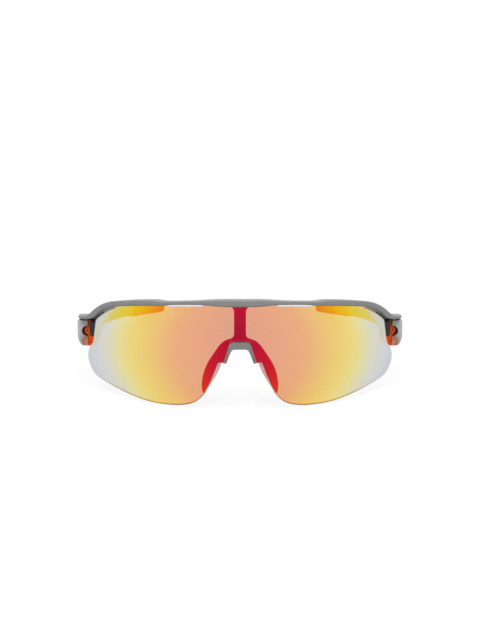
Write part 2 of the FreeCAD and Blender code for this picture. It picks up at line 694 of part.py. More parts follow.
def temple_shell():
    """Outer shell of the left temple, with a slot at its front end."""
    body = temple_band(0, TIP_START, no_offset, shell_offset).common(temple_profile())

    def outside(edge):
        places = [temple_offset(vertex.Point) for vertex in edge.Vertexes]
        return min(out for out, along in places) > TONGUE_HALF and min(along for out, along in places) < TIP_START / 2

    def top(edge):
        return outside(edge) and edge.CenterOfMass.z > TEMPLE_TOP_ABOVE

    def not_top(edge):
        return outside(edge) and edge.CenterOfMass.z <= TEMPLE_TOP_ABOVE

    body = rounded(rounded(body, TEMPLE_ROUND, not_top), TEMPLE_TOP_ROUND, top)
    return body.cut([shell_heel(), pocket(POCKET_RADIUS), round_post(LOWER_TOP, UPPER_BOTTOM, ROOM_RADIUS)])


def shell_heel():
    """What the curved lower corner leaves out of the shell's front end."""
    curve = from_side(FRONT_HALF_WIDTH, SHELL_HEEL)
    corner = (FRONT_HALF_WIDTH + BROW_DEPTH, curve[-1][1])
    edges = [spline(front(curve))] + chain(front([curve[-1], corner, (corner[0], curve[0][1]), curve[0]]))
    return prism(face_of(edges), BACK)


def pocket(radius, inward=0.0):
    """Round pocket in the shell's front end, or the core's boss in it."""
    start = Vector(FRONT_HALF_WIDTH - INTERFACE_INSET + POCKET_OUT - inward, PIN_Y - SHELL_AHEAD, POCKET_Z)
    return Part.makeCylinder(radius, POCKET_LENGTH, start, BACK)


def core_groove():
    """Winding groove down the core's front end."""
    half = CORE_GROOVE_WIDTH / 2
    inner = from_side(FRONT_HALF_WIDTH - half, CORE_GROOVE)
    outer = from_side(FRONT_HALF_WIDTH + half, CORE_GROOVE)
    edges = [spline(front(inner)), spline(front(outer))]
    edges += chain(front([inner[0], outer[0]])) + chain(front([inner[-1], outer[-1]]))
    return prism(face_of(edges), BACK).common(slab((-FAR, -FAR, -FAR), (FAR, core_front() + CORE_GROOVE_DEPTH, FAR)))


def core_front():
    """y of the core's front end."""
    return PIN_Y - CORE_AHEAD


def temple_core():
    """Inner core of the left temple: knuckles around the pin, and a tongue inside the tip."""
    body = temple_band(0, TIP_START, core_offset, no_offset).common(temple_profile())

    def inside(edge):
        places = [temple_offset(vertex.Point) for vertex in edge.Vertexes]
        return max(out for out, along in places) < -TONGUE_HALF and min(along for out, along in places) < TIP_START / 2

    body = rounded(body, TEMPLE_ROUND, inside)
    body = body.common(slab((-FAR, core_front(), -FAR), (FAR, FAR, FAR)))
    sweep = Part.makeCylinder(FAR, FAR - LOWER_TOP, Vector(PIN_X, PIN_Y, LOWER_TOP), UP, FOLD_ROOM_ANGLE)
    sweep.rotate(Vector(PIN_X, PIN_Y, 0), UP, FOLD_ROOM_START)
    ahead = slab((-FAR, -FAR, -FAR), (FAR, core_front(), FAR))
    window = slab((-FAR, -FAR, LOWER_TOP), (PIN_X + CORE_WINDOW, PIN_Y, UPPER_BOTTOM))
    body = body.fuse(pocket(BOSS_RADIUS, BOSS_INWARD).cut(ahead)).cut(core_groove())
    body = body.cut([sweep, window, round_post(LOWER_TOP, UPPER_BOTTOM, ROOM_RADIUS)])
    upper = round_post(UPPER_BOTTOM, UPPER_TOP, KNUCKLE_RADIUS)
    lower = round_post(LOWER_BOTTOM - KNUCKLE_SKIRT, LOWER_TOP, KNUCKLE_RADIUS)
    body = body.fuse([upper, lower, tongue(0)])
    return body.cut([round_post(-FAR, FAR, PIN_RADIUS + PIN_FIT),
                     round_post(-FAR, LOWER_BOTTOM, PIN_HEAD_RADIUS + PIN_FIT + WASHER_FIT)])


def tongue(fit):
    """Blade of the core inside the tip, grown by fit."""
    half = TONGUE_HALF + fit
    end = TIP_START + TONGUE_LENGTH + fit
    blade = temple_band(TIP_START, end, lambda distance: -half, lambda distance: half)
    middle = (TEMPLE_TOP[-1][1] + TEMPLE_BOTTOM[-1][1]) / 2 + TONGUE_HEIGHT / 4
    reach = TONGUE_HEIGHT / 2 + fit
    return blade.common(slab((-FAR, -FAR, middle - reach), (FAR, FAR, middle + reach)))


def temple_tip():
    """Rubber sleeve over the back of the left temple."""
    def outer(distance):
        return SHELL_BACK_WALL + TIP_SIDE_WALL

    def inner(distance):
        return -CORE_BACK_WALL - TIP_SIDE_WALL

    body = temple_band(TIP_START, TEMPLE_LENGTH, inner, outer).common(temple_profile(TIP_EDGE_WALL))

    def behind_start(edge):
        return max(temple_offset(vertex.Point)[1] for vertex in edge.Vertexes) > TIP_START + TIP_ROUND

    body = rounded(body, TIP_ROUND, behind_start)
    return body.cut(tongue(TIP_FIT))


def pieces():
    """Every piece in the front's frame, by name."""
    lens_room = lens_body(LENS_FIT)
    made = {"brow_frame": brow_frame(lens_room), "shield_lens": lens_body(0), "nose_bridge": nose_bridge(lens_room),
            "bridge_screw": bridge_screw()}
    sided = {"nose_pad": nose_pad(), "hinge_bracket": hinge_bracket(lens_room), "bracket_screw": bracket_screw(),
             "hinge_pin": hinge_pin(), "hinge_washers": hinge_washers(), "temple_core": temple_core(),
             "temple_shell": temple_shell(), "temple_tip": temple_tip()}
    for name, shape in sided.items():
        made[name + "_left"] = shape
        made[name + "_right"] = flipped(shape)
    return made


def stand_height(points, tilt):
    """Lowest height of points once the front frame is tipped by tilt."""
    return min(point.z * math.cos(tilt) - point.y * math.sin(tilt) for point in points)


def stand_tilt(front_points, tip_points):
    """Tilt at which the lens lobes and the tips, less their flats, stand on one plane."""
    low, high = 0.0, math.radians(STEEPEST_STAND)
    for _ in range(STAND_ROUNDS):
        tilt = (low + high) / 2
        if stand_height(front_points, tilt) < stand_height(tip_points, tilt) + FOOT_FLAT:
            low = tilt
        else:
            high = tilt
    return tilt


def points_of(shape):
    return shape.tessellate(POINT_TOLERANCE)[0]


def stood(made):
    """The pieces on the table, each tip cut flat there, and the move that put them there."""
    lens = points_of(made["shield_lens"])
    tilt = stand_tilt(lens, points_of(made["temple_tip_left"]))
    table = stand_height(lens, tilt)
    reach = [point.y * math.cos(tilt) + point.z * math.sin(tilt)
             for name in ("brow_frame", "shield_lens", "temple_tip_left") for point in points_of(made[name])]
    middle = (min(reach) + max(reach)) / 2
    turn = FreeCAD.Rotation(LEFT, -math.degrees(tilt))
    move = FreeCAD.Placement(Vector(0, -middle, -table), turn)
    above = slab((-FAR, -FAR, 0), (FAR, FAR, FAR))
    placed = {}
    for name, shape in made.items():
        placed[name] = shape.copy()
        placed[name].Placement = move.multiply(shape.Placement)
        if name.startswith("temple_tip"):
            placed[name] = placed[name].common(above)
    return placed, move


def main():
    os.makedirs("parts", exist_ok=True)
    placed, move = stood(pieces())
    for name, shape in placed.items():
        print(name, shape.isValid(), round(shape.Volume, 2), len(shape.Solids))
        shape.exportStep("parts/" + name + ".step")
    print("left hinge at", move.multVec(Vector(PIN_X, PIN_Y, (LUG_TOP + LUG_BOTTOM) / 2)))
    print("hinge axis", move.Rotation.multVec(UP))
    flat = min(placed["temple_tip_left"].Faces, key=lambda face: face.CenterOfMass.z)
    print("left flat at", flat.CenterOfMass)


if __name__ == "__main__":
    main()
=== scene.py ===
"""Half-rim shield sunglasses, dressed around their fixed frame, in a white studio. Sizes are in metres."""

import json
import math

import bmesh
import bpy
from bpy.props import FloatProperty, FloatVectorProperty, IntProperty, PointerProperty
from bpy.types import NodeSocket, Operator, Panel, PropertyGroup
from mathutils import Matrix, Vector
from mathutils.geometry import delaunay_2d_cdt


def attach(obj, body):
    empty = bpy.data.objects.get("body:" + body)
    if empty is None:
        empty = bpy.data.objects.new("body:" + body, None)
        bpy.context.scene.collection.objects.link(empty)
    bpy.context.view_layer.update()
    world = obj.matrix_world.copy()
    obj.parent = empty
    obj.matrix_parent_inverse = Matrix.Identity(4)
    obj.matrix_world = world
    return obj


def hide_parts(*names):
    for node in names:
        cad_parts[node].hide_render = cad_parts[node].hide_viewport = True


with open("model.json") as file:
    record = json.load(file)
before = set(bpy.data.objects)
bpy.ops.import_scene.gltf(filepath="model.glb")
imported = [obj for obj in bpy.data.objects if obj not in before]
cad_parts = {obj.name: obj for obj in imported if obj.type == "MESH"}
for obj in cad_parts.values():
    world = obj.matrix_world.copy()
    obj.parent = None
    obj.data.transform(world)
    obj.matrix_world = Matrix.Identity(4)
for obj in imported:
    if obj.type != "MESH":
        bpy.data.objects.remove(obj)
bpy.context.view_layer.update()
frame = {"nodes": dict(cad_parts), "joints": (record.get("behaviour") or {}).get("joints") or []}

bl_info = {
    "name": "Shield sunglasses",
    "version": (1, 0, 0),
    "blender": (4, 5, 0),
    "location": "View3D > Sidebar > Sunglasses",
    "description": "Finishes, lens, nose pads, temple sleeves and studio of half-rim shield sunglasses",
    "category": "Object",
}

MM = 0.001
SIDES = ("left", "right")
WHITE = (1, 1, 1, 1)

# Lens edge in the front's own frame, in millimetres: x to the wearer's left, z up from the brow line
LENS_TOP = [(0.0, 0.1), (15.0, 0.0), (30.0, -0.3), (45.0, -1.1), (53.3, -2.0), (56.0, -2.7), (59.2, -4.5),
            (62.0, -6.6), (63.1, -7.7), (63.5, -9.0)]
LENS_SIDE = [(63.5, -9.0), (64.05, -13.0), (64.7, -17.6), (66.7, -20.6), (67.3, -24.2), (66.4, -27.8),
             (64.2, -31.3), (60.0, -34.0), (48.3, -38.7), (39.0, -41.3), (29.0, -42.3), (22.0, -41.7),
             (18.3, -40.2), (14.8, -37.0), (11.6, -30.7), (8.9, -23.9)]
LENS_ARCH = [(6.5, -23.9), (4.5, -17.5), (3.75, -16.0), (2.8, -15.5), (0.0, -15.4)]

# Tabs of the lens that sit in the brow bar, in millimetres: inner side, outer side and height
LENS_TABS = [(0.0, 15.8, 1.1), (30.4, 53.6, 0.5)]
TAB_SLACK = 0.01

# Material slots of the lens
COAT_SLOT, BACK_SLOT, EDGE_SLOT = range(3)

# Lens mesh: how far its inner points keep from its edge, as a share of their spacing, the fill within
# its edge, the distance in millimetres at which points are one, and the faces across the chamfer
EDGE_CLEARANCE = 0.6
INSIDE_ONLY = 1
MERGE_GAP = 1e-6
CHAMFER_STEPS = 2

# Where the bands of the coat lie, as shares of the lens's half width
COAT_BANDS = {"crimson": 0.0, "ruby": 0.2, "red": 0.4, "orange": 0.6, "gold": 0.7, "straw": 0.78,
              "silver": 0.87, "pearl": 0.945, "ice": 1.0}

# Share of the light that the lens's back stops, and that its edge stops at the foot and above it,
# the span of the foot over which that changes, and the roughness of both
BACK_DENSITY = (0.027, 0.03)
# Painted shade: the edge stops more light at its foot, where the lens stands on the table, so it shows dark
# there
EDGE_DENSITY = (0.78, 0.4)
EDGE_SPAN = (0.2, 1.0)
BACK_ROUGHNESS = 0.12
EDGE_ROUGHNESS = 0.2

# The left hinge pin in the front's own frame, in millimetres
PIN_BACK = 41.488
LUG_MIDDLE = -12.81

# Width of the nose arch in front of the lens's edge, in millimetres
ARCH_LIP = 0.5

# Where a shell's lip turns from grey to orange, in millimetres: sideways, down and ahead,
# and the share of the way at which it is brown
LIP_ACROSS = (72.0, 68.3)
LIP_DOWN = (23.5, 19.5)
LIP_AHEAD = (-30.0, -38.0)
LIP_TURN = 0.6

# Fineness of the finishes' textures, per metre
MOTTLE = 260.0
MOULD_GRAIN = 2600.0
POLISHED_GRAIN = 2200.0
RUBBER_GRAIN = 1900.0
SILICONE_GRAIN = 1800.0
SILICONE_CLOUDS = 420.0
DRAWN_LINES = 9000.0
COAT_HAZE = 700.0
LENS_STREAKS = 160.0
FLOOR_CLOUDS = 3.0

# Spans of a texture's values over which a finish changes, and depths of relief
TEXTURE_SPAN = (0.3, 0.7)
HAZE_SPAN = (0.35, 0.65)
STEP_SPAN = (0.4, 0.6)
GRAIN_DEPTH = 0.00004
LINE_DEPTH = 0.00002

# Least and greatest values in the finishes, shades and hazes as shares of their setting
MOTTLE_SHADES = (0.94, 1.05)
LINE_SHADES = (0.85, 1.0)
STREAK_SHADES = (0.86, 1.0)
CLOUD_SHADES = (0.92, 1.0)
FLOOR_SHADES = (0.995, 1.0)
COAT_HAZES = (0.9, 1.15)
METAL_ROUGHNESS = (0.2, 0.36)
SILICONE_ROUGHNESS = (0.28, 0.42)
SILICONE_DENSITY = (0.5, 0.6)

# Gloss of plain plastic and of the floor, and the strength of a smoothing round
PLAIN_SPECULAR = 0.5
FLOOR_ROUGHNESS = 0.8
SOFTENING = 0.5

# Place of the overhead light, width of the camera's sensor in millimetres and nearest distance it sees
KEY_PLACE = Vector((0.0, -0.2, 0.9))
SENSOR_WIDTH = 36.0
CLIP_START = 0.01


def colour(name, description, default):
    """A colour property, in linear RGB."""
    return FloatVectorProperty(name=name, description=description, default=default, subtype="COLOR", size=3,
                               min=0, max=1)


def length(name, description, default):
    """A length property."""
    return FloatProperty(name=name, description=description, default=default, unit="LENGTH", precision=5)


def angle(name, description, degrees):
    """An angle property."""
    return FloatProperty(name=name, description=description, default=math.radians(degrees), subtype="ANGLE")


def amount(name, description, default):
    """A plain number that isn't negative."""
    return FloatProperty(name=name, description=description, default=default, min=0)


def fraction(name, description, default):
    """A number from 0 to 1."""
    return FloatProperty(name=name, description=description, default=default, min=0, max=1, subtype="FACTOR")


def smoothing(description, default):
    """A number of smoothing rounds."""
    return IntProperty(name="Smoothing", description=description, default=default, min=0)


class LensSettings(PropertyGroup):
    thickness: length("Thickness", "Thickness of the shield lens", 0.002)
    wrap_radius: length("Wrap radius", "Radius of the lens around the face", 0.090)
    crown_radius: length("Crown radius", "Radius of the lens from brow to cheek", 0.200)
    crown_height: length("Crown height", "Height of the crown's middle, from the brow line", -0.020)
    grid: length("Grid", "Spacing of the lens's inner mesh points", 0.0014)
    edge_step: length("Edge step", "Spacing of points along the lens's edge", 0.0006)
    rim: length("Rim", "Width of the polished chamfer around the lens", 0.00035)
    smoke: colour("Smoke", "Smoke of the lens's clear back", (0.58, 0.50, 0.44))
    # Painted shade: the colour of the edge at its foot, darkened where the lens stands on the table
    edge_painted_shade: colour("Edge smoke", "Smoke of the lens's edge where it stands", (0.13, 0.075, 0.03))
    foot: length("Foot", "Height over which the lens's edge clears up", 0.010)


class CoatSettings(PropertyGroup):
    roughness: fraction("Roughness", "Roughness of the mirror coat", 0.09)
    level: length("Level", "Height of the line across the lens that faces straight ahead", -0.018)
    half_height: length("Half height", "Height above that line over which the bands drift by one step", 0.020)
    drift: amount("Drift", "Outward drift of the bands in a step", 0.13)
    crimson: colour("Crimson", "Mirror colour over the nose", (0.37, 0.003, 0.032))
    ruby: colour("Ruby", "Mirror colour beside the nose", (0.55, 0.007, 0.026))
    red: colour("Red", "Mirror colour between nose and eyes", (0.70, 0.042, 0.007))
    orange: colour("Orange", "Mirror colour in front of the eyes", (0.80, 0.20, 0.002))
    gold: colour("Gold", "Mirror colour outside the eyes", (0.805, 0.38, 0.003))
    straw: colour("Straw", "Mirror colour towards the temples", (0.74, 0.495, 0.011))
    silver: colour("Silver", "Mirror colour near the outer ends", (0.657, 0.524, 0.045))
    pearl: colour("Pearl", "Mirror colour at the outer ends", (0.586, 0.59, 0.543))
    ice: colour("Ice", "Mirror colour at the outermost edge", (0.548, 0.557, 0.571))
    passed_crimson: colour("Passed at crimson", "Light let through over the nose", (0.34, 0.355, 0.215))
    passed_ruby: colour("Passed at ruby", "Light let through beside the nose", (0.215, 0.363, 0.215))
    passed_red: colour("Passed at red", "Light let through between nose and eyes", (0.095, 0.37, 0.21))
    passed_orange: colour("Passed at orange", "Light let through in front of the eyes", (0.008, 0.387, 0.18))
    passed_gold: colour("Passed at gold", "Light let through outside the eyes", (0.002, 0.277, 0.215))
    passed_straw: colour("Passed at straw", "Light let through towards the temples", (0.005, 0.20, 0.33))
    passed_silver: colour("Passed at silver", "Light let through near the outer ends", (0.005, 0.133, 0.536))
    passed_pearl: colour("Passed at pearl", "Light let through at the outer ends", (0.019, 0.038, 0.105))
    passed_ice: colour("Passed at ice", "Light let through at the outermost edge", (0.014, 0.019, 0.057))


class PadSettings(PropertyGroup):
    voxel: length("Voxel", "Mesh size of a nose pad", 0.00035)
    rounds: smoothing("Smoothing rounds over a pad's edges", 6)
    tint: colour("Tint", "Colour of the clear silicone", (0.77, 0.31, 0.29))


class SleeveSettings(PropertyGroup):
    voxel: length("Voxel", "Mesh size of a temple sleeve", 0.0005)
    rounds: smoothing("Smoothing rounds over a sleeve's edges", 4)
    rubber: colour("Rubber", "Colour of the rubber", (0.55, 0.065, 0.012))


class FinishSettings(PropertyGroup):
    brow_grey: colour("Brow grey", "Moulded grey of the brow bar and the nose arch", (0.153, 0.15, 0.15))
    shell_grey: colour("Shell grey", "Moulded light grey of the temple shells", (0.33, 0.325, 0.325))
    carrier_black: colour("Carrier black", "Moulded black of the nose carrier", (0.006, 0.0055, 0.0055))
    # The brackets' black is partly moulded black and partly painted shade for the shaded recess of the hinge
    hinge_black: colour("Hinge black", "Moulded black of the hinge brackets", (0.009, 0.009, 0.009))
    core_orange: colour("Core orange", "Moulded orange of the temple cores", (1.0, 0.14, 0.02))
    lip_brown: colour("Lip brown", "Brown between a shell's grey and its orange lip", (0.20, 0.095, 0.065))
    lip_orange: colour("Lip orange", "Orange of a shell's lip beside the core", (0.49, 0.148, 0.085))
    steel: colour("Steel", "Steel of the screws and pins", (0.60, 0.59, 0.57))
    nylon: colour("Nylon", "Nylon of the hinge washers", (0.72, 0.70, 0.65))


class StageSettings(PropertyGroup):
    distance: length("Distance", "Camera's distance from the point it looks at", 0.5)
    elevation: angle("Elevation", "Camera's angle above the horizon", 15.75)
    aim: FloatVectorProperty(name="Aim", description="Point that the camera looks at", subtype="TRANSLATION",
                             size=3, default=(0, -0.07543, 0.03769))
    focal: FloatProperty(name="Focal length", description="Camera's focal length, in millimetres",
                         default=67.56, subtype="DISTANCE_CAMERA")
    floor: colour("Floor", "Colour of the floor", (0.09, 0.09, 0.09))
    glow: amount("Floor glow", "Brightness of the floor's own light", 0.85)
    floor_half: length("Floor size", "Half the floor's side", 30.0)
    surround: amount("Surround", "Brightness of the white surround", 1.05)
    key: amount("Key light", "Strength of the overhead light", 3.2)
    softness: angle("Softness", "Angular size of the overhead light", 60)


def settings(name):
    """A group of the scene's settings."""
    return getattr(bpy.context.scene, "sunglasses_" + name)


def add(name, data):
    """A new object in the scene."""
    thing = bpy.data.objects.new(name, data)
    bpy.context.scene.collection.objects.link(thing)
    return thing


def both(name):
    """A name for each side."""
    return [name + "_" + side for side in SIDES]


def put(tree, socket, value):
    """Links a node's output to a socket, or sets the socket to a plain value."""
    if isinstance(value, NodeSocket):
        tree.links.new(value, socket)
    else:
        socket.default_value = value


def feed(tree, shader, **values):
    """Fills a shader's sockets by name, with underscores for spaces."""
    for name, value in values.items():
        put(tree, shader.inputs[name.replace("_", " ")], value)


def node(tree, kind, *terms, **values):
    """A shader node. Values are attributes or inputs by name, terms are its inputs in order."""
    made = tree.nodes.new(kind)
    for name, value in values.items():
        label = name.replace("_", " ")
        if label in made.inputs:
            put(tree, made.inputs[label], value)
        else:
            setattr(made, name, value)
    for socket, term in zip(made.inputs, terms):
        put(tree, socket, term)
    return made


def maths(tree, operation, *terms):
    """The result of a math node."""
    return node(tree, "ShaderNodeMath", *terms, operation=operation).outputs[0]


def own_place(tree):
    """The place on a piece, in the stand's frame."""
    return node(tree, "ShaderNodeTexCoord").outputs["Object"]


def own_axes(tree):
    """The place on a piece by axis."""
    return node(tree, "ShaderNodeSeparateXYZ", own_place(tree)).outputs


def grain(tree, scale, octaves=3.0):
    """A cloudy texture over a piece, scale per metre."""
    texture = node(tree, "ShaderNodeTexNoise", Vector=own_place(tree), Scale=scale, Detail=octaves)
    return texture.outputs["Fac"]


def relief(tree, height, strength, depth):
    """The surface's direction with fine relief."""
    return node(tree, "ShaderNodeBump", Height=height, Strength=strength, Distance=depth).outputs["Normal"]


def ramp(tree, factor, stops):
    """A colour ramp with (position, linear RGB) stops."""
    made = node(tree, "ShaderNodeValToRGB", factor)
    elements = made.color_ramp.elements
    while len(elements) < len(stops):
        elements.new(1.0)
    for element, (position, value) in zip(elements, stops):
        element.position = position
        element.color = (*value, 1)
    return made.outputs["Color"]


def between(tree, factor, first, last, span=TEXTURE_SPAN):
    """A colour that goes from one to another over a span."""
    return ramp(tree, factor, [(span[0], first), (span[1], last)])


def levels(tree, factor, first, last, span=TEXTURE_SPAN):
    """A number that goes from one to another over a span."""
    return between(tree, factor, (first, first, first), (last, last, last), span)


def scaled(values, factor):
    """Each of some values times a factor."""
    return tuple(value * factor for value in values)


def shades(tree, factor, base, shares):
    """A colour that goes from one of its shades to another."""
    darkest, lightest = shares
    return between(tree, factor, scaled(base, darkest), scaled(base, lightest))


def fade(tree, value, span):
    """Share of the way over a span in millimetres."""
    way = node(tree, "ShaderNodeMapRange", Value=value, From_Min=span[0] * MM, From_Max=span[1] * MM)
    return way.outputs["Result"]


def fresh_material(name):
    """A new material, with its node tree and its principled shader."""
    material = bpy.data.materials.new(name)
    material.use_nodes = True
    tree = material.node_tree
    return material, tree, tree.nodes["Principled BSDF"]


def plastic(name, roughness, spread, specular=PLAIN_SPECULAR, grain_scale=MOULD_GRAIN, grain_strength=0.25):
    """Moulded plastic before its colour: uneven gloss and a fine spark-eroded grain."""
    material, tree, shader = fresh_material(name)
    fine = grain(tree, grain_scale)
    feed(tree, shader, Roughness=levels(tree, fine, roughness - spread, roughness + spread),
         Normal=relief(tree, fine, grain_strength, GRAIN_DEPTH), Specular_IOR_Level=specular)
    return material, tree, shader


def moulded(name, base, **surface):
    """Moulded plastic of one faintly mottled colour."""
    material, tree, shader = plastic(name, **surface)
    feed(tree, shader, Base_Color=shades(tree, grain(tree, MOTTLE), base, MOTTLE_SHADES))
    return material


def machined(name, base):
    """Turned metal with fine drawn lines."""
    material, tree, shader = fresh_material(name)
    lines = grain(tree, DRAWN_LINES, octaves=2.0)
    feed(tree, shader, Metallic=1.0, Base_Color=shades(tree, lines, base, LINE_SHADES),
         Roughness=levels(tree, lines, *METAL_ROUGHNESS),
         Normal=relief(tree, lines, strength=0.2, depth=LINE_DEPTH))
    return material


def dress(material, *names):
    """Gives the CAD nodes a finish."""
    for name in names:
        slots = frame["nodes"][name].data.materials
        slots.clear()
        slots.append(material)


def new_piece(name, mesh, finishes, body):
    """A piece of the object that rides on a body."""
    piece = add(name, mesh)
    for material in finishes:
        mesh.materials.append(material)
    mesh.polygons.foreach_set("use_smooth", [True] * len(mesh.polygons))
    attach(piece, body)
    return piece


def soft_copy(name, source, voxel, rounds, material, body):
    """A soft piece with rounded edges in the space of its CAD solid."""
    mesh = frame["nodes"][source].data.copy()
    mesh.materials.clear()
    piece = new_piece(name, mesh, [material], body)
    skin = piece.modifiers.new("one skin", "REMESH")
    skin.mode = "VOXEL"
    skin.voxel_size = voxel
    skin.use_smooth_shade = True
    ease = piece.modifiers.new("soft edges", "SMOOTH")
    ease.factor = SOFTENING
    ease.iterations = rounds
    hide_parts(source)


def front_to_stand():
    """Matrix from the front's own frame to the stand's frame, from the left hinge's place and axis."""
    hinge = next(joint for joint in frame["joints"] if joint["name"] == "left_temple_fold")
    up = Vector(hinge["axis"]).normalized()
    left = Vector((1, 0, 0))
    back = up.cross(left)
    turn = Matrix((left, back, up)).transposed()
    pin = Vector((hinge["pos_m"][0], PIN_BACK * MM, LUG_MIDDLE * MM))
    return Matrix.Translation(Vector(hinge["pos_m"]) - turn @ pin) @ turn.to_4x4()


def on_lens(point, offset):
    """Place in the front's frame of a front-view point in millimetres, at an offset from the lens's front."""
    lens = settings("lens")
    z = point.y * MM
    arc = math.sqrt((lens.crown_radius + offset) ** 2 - (z - lens.crown_height) ** 2)
    reach = arc - lens.crown_radius + lens.wrap_radius
    return Vector((point.x * MM, lens.wrap_radius - math.sqrt(reach**2 - (point.x * MM) ** 2), z))


def stand_height(point):
    """Height above the table, in metres, of a front-view point on the lens in millimetres."""
    return (front_to_stand() @ on_lens(Vector(point), 0.0)).z


def smooth_line(points, step):
    """Points about a step apart on a smooth curve through points."""
    line = [Vector(points[0])]
    for index in range(len(points) - 1):
        start, end = Vector(points[index]), Vector(points[index + 1])
        run = (end - start).length
        before = Vector(points[max(index - 1, 0)])
        after = Vector(points[min(index + 2, len(points) - 1)])
        leave = (end - before) * run / ((start - before).length + run)
        arrive = (after - start) * run / ((after - end).length + run)
        count = max(1, round(run / step))
        for place in range(1, count + 1):
            share = place / count
            flat = share * share * (3 - 2 * share)
            tangent = leave * share * (1 - share) ** 2 - arrive * share * share * (1 - share)
            line.append(start.lerp(end, flat) + tangent)
    return line


def divided(line, step):
    """A line with more points on its long runs, about a step apart."""
    points = line[:1]
    for start, end in zip(line, line[1:]):
        count = max(1, round((end - start).length / step))
        points += [start.lerp(end, place / count) for place in range(1, count + 1)]
    return points


def point_over(line, x):
    """The point of a line that runs outwards, at a distance from the centre line."""
    start, end = next(run for run in zip(line, line[1:]) if run[0].x <= x <= run[1].x)
    return start.lerp(end, (x - start.x) / (end.x - start.x))


def with_tabs(top, step):
    """The lens's upper edge with the tabs that reach up into the bar."""
    edge = top
    for inner, outer, height in LENS_TABS:
        before = [point for point in edge if point.x < inner - step / 2]
        after = [point for point in edge if point.x > outer + step / 2]
        foot = [point_over(top, inner)] if before else []
        tab = [Vector((inner, height)), Vector((outer, height)), point_over(top, outer)]
        edge = before + foot + tab + after
    return edge


def on_tab(point):
    """Whether a point of the lens's edge belongs to a tab."""
    beside = any(inner - TAB_SLACK < abs(point.x) < outer + TAB_SLACK for inner, outer, _ in LENS_TABS)
    return beside and point.y > LENS_TOP[-1][1]


def lens_outline(step):
    """Closed edge of the lens in front view, in millimetres, from the top's middle outwards and down."""
    half = with_tabs(smooth_line(LENS_TOP, step), step)
    half += smooth_line(LENS_SIDE, step)[1:]
    half += smooth_line(LENS_ARCH, step)
    half = divided(half, step)
    mirror = [Vector((-point.x, point.y)) for point in reversed(half[1:-1])]
    return half + mirror


def inside(point, outline):
    """Whether a point lies within a closed outline."""
    hit = False
    for start, end in zip(outline, outline[1:] + outline[:1]):
        if (start.y > point.y) != (end.y > point.y):
            if point.x < start.x + (end.x - start.x) * (point.y - start.y) / (end.y - start.y):
                hit = not hit
    return hit


def lens_grid(outline, spacing):
    """Points of a staggered grid within an outline, clear of its edge."""
    low_x = min(point.x for point in outline)
    low_y = min(point.y for point in outline)
    columns = int(-2 * low_x / spacing)
    rows = int((max(point.y for point in outline) - low_y) / spacing)
    gap = EDGE_CLEARANCE * spacing
    clear = []
    for row in range(1, rows + 1):
        near = [point for point in outline if abs(point.y - low_y - row * spacing) < spacing]
        for column in range(1, columns + 1):
            spot = Vector((low_x + (column + 0.5 * (row % 2)) * spacing, low_y + row * spacing))
            if all((spot - point).length > gap for point in near) and inside(spot, outline):
                clear.append(spot)
    return clear


def lens_mesh():
    """Front and back face of the lens and the wall between them, with its corners chosen for the chamfer."""
    lens = settings("lens")
    outline = lens_outline(lens.edge_step / MM)
    points = outline + lens_grid(outline, lens.grid / MM)
    count = len(outline)
    ring = [(index, (index + 1) % count) for index in range(count)]
    flat, _, faces = delaunay_2d_cdt(points, ring, [], INSIDE_ONLY, MERGE_GAP)[:3]
    place = front_to_stand()
    sheet = bmesh.new()
    front = [sheet.verts.new(place @ on_lens(point, 0.0)) for point in flat]
    rear = [sheet.verts.new(place @ on_lens(point, -lens.thickness)) for point in flat]
    for corners in faces:
        sheet.faces.new([front[corner] for corner in corners]).material_index = COAT_SLOT
        sheet.faces.new([rear[corner] for corner in reversed(corners)]).material_index = BACK_SLOT
    sheet.verts.index_update()
    chamfered = sheet.edges.layers.float.new("bevel_weight_edge")
    for edge in [edge for edge in sheet.edges if edge.is_boundary and edge.verts[0].index < len(flat)]:
        start, end = (vert.index for vert in edge.verts)
        wall = sheet.faces.new((front[start], front[end], rear[end], rear[start]))
        wall.material_index = EDGE_SLOT
        for corner in (edge, sheet.edges.get((rear[start], rear[end]))):
            corner.smooth = not (on_tab(flat[start]) and on_tab(flat[end]))
            corner[chamfered] = float(corner.smooth)
    bmesh.ops.recalc_face_normals(sheet, faces=sheet.faces)
    mesh = bpy.data.meshes.new("shield_lens_mirror")
    sheet.to_mesh(mesh)
    sheet.free()
    return mesh


def across_lens(tree):
    """Distance from the centre line as a share of the half width, with the drift away from the level."""
    coat = settings("coat")
    place = own_place(tree)
    x = node(tree, "ShaderNodeSeparateXYZ", place).outputs["X"]
    half_width = max(point[0] for point in LENS_SIDE) * MM
    share = maths(tree, "DIVIDE", maths(tree, "ABSOLUTE", x), half_width)
    stand = front_to_stand()
    up = stand.to_3x3().col[2]
    height = node(tree, "ShaderNodeVectorMath", place, up, operation="DOT_PRODUCT").outputs["Value"]
    level = up.dot(stand @ Vector((0, 0, coat.level)))
    steps = maths(tree, "DIVIDE", maths(tree, "SUBTRACT", height, level), coat.half_height)
    drift = maths(tree, "MULTIPLY", maths(tree, "MULTIPLY", steps, steps), coat.drift)
    return maths(tree, "ADD", share, drift)


def coat_bands(tree, share, prefix=""):
    """The coat's mirrored colours, or those that it passes."""
    coat = settings("coat")
    return ramp(tree, share, [(place, getattr(coat, prefix + band)) for band, place in COAT_BANDS.items()])


